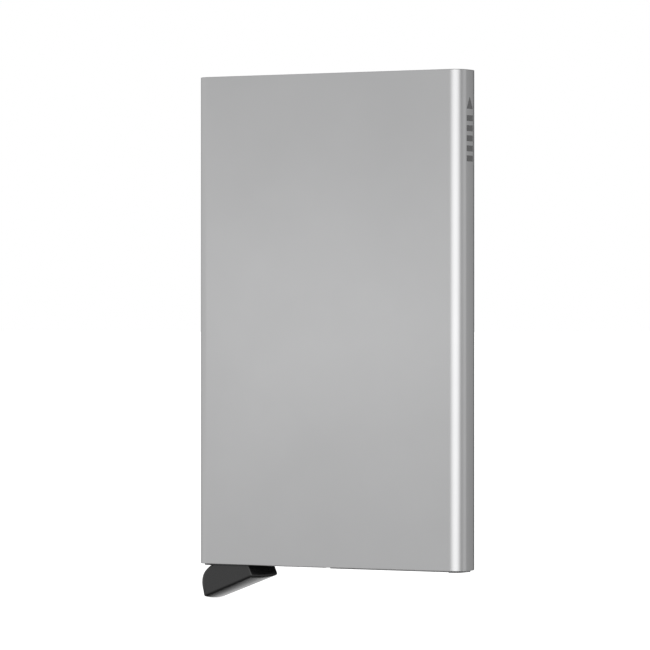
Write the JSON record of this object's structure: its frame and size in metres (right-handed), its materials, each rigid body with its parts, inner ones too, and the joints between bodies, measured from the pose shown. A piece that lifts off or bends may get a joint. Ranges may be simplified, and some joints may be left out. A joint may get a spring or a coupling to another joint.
{
  "type": "card case",
  "caption": "Slim flat metal card case, open at the top, with a corner lever whose stepped arm lifts the cards out as a fan.",
  "frame": {"origin": "centre of the case's width and thickness, at the level of the lever's lowest point", "axes": "+X across the width to the right seen from the front, -Y out of the front face, +Z along the length towards the card mouth"},
  "size_m": [0.063, 0.008, 0.1089],
  "materials": {
    "anodised_aluminium": "satin",
    "moulded_grey": "matte",
    "moulded_black": "satin",
    "pin_steel": "satin",
    "lever_black": "satin",
    "pile": "matte"
  },
  "bodies": {
    "case": {"sleeve": "anodised_aluminium", "base_block": "moulded_grey", "hinge_frame": "moulded_black", "pivot_pin": "pin_steel", "left_rail": "moulded_grey", "right_rail": "moulded_grey", "left_friction_strip": "pile", "right_friction_strip": "pile"},
    "lever": {"lever": "lever_black"}
  },
  "joints": [
    {"name": "lever_pivot", "type": "hinge", "parent": "case", "child": "lever", "pos_m": [-0.0265, 0, 0.0115], "axis": [0, -1, 0], "range_deg": [0, 27]}
  ]
}
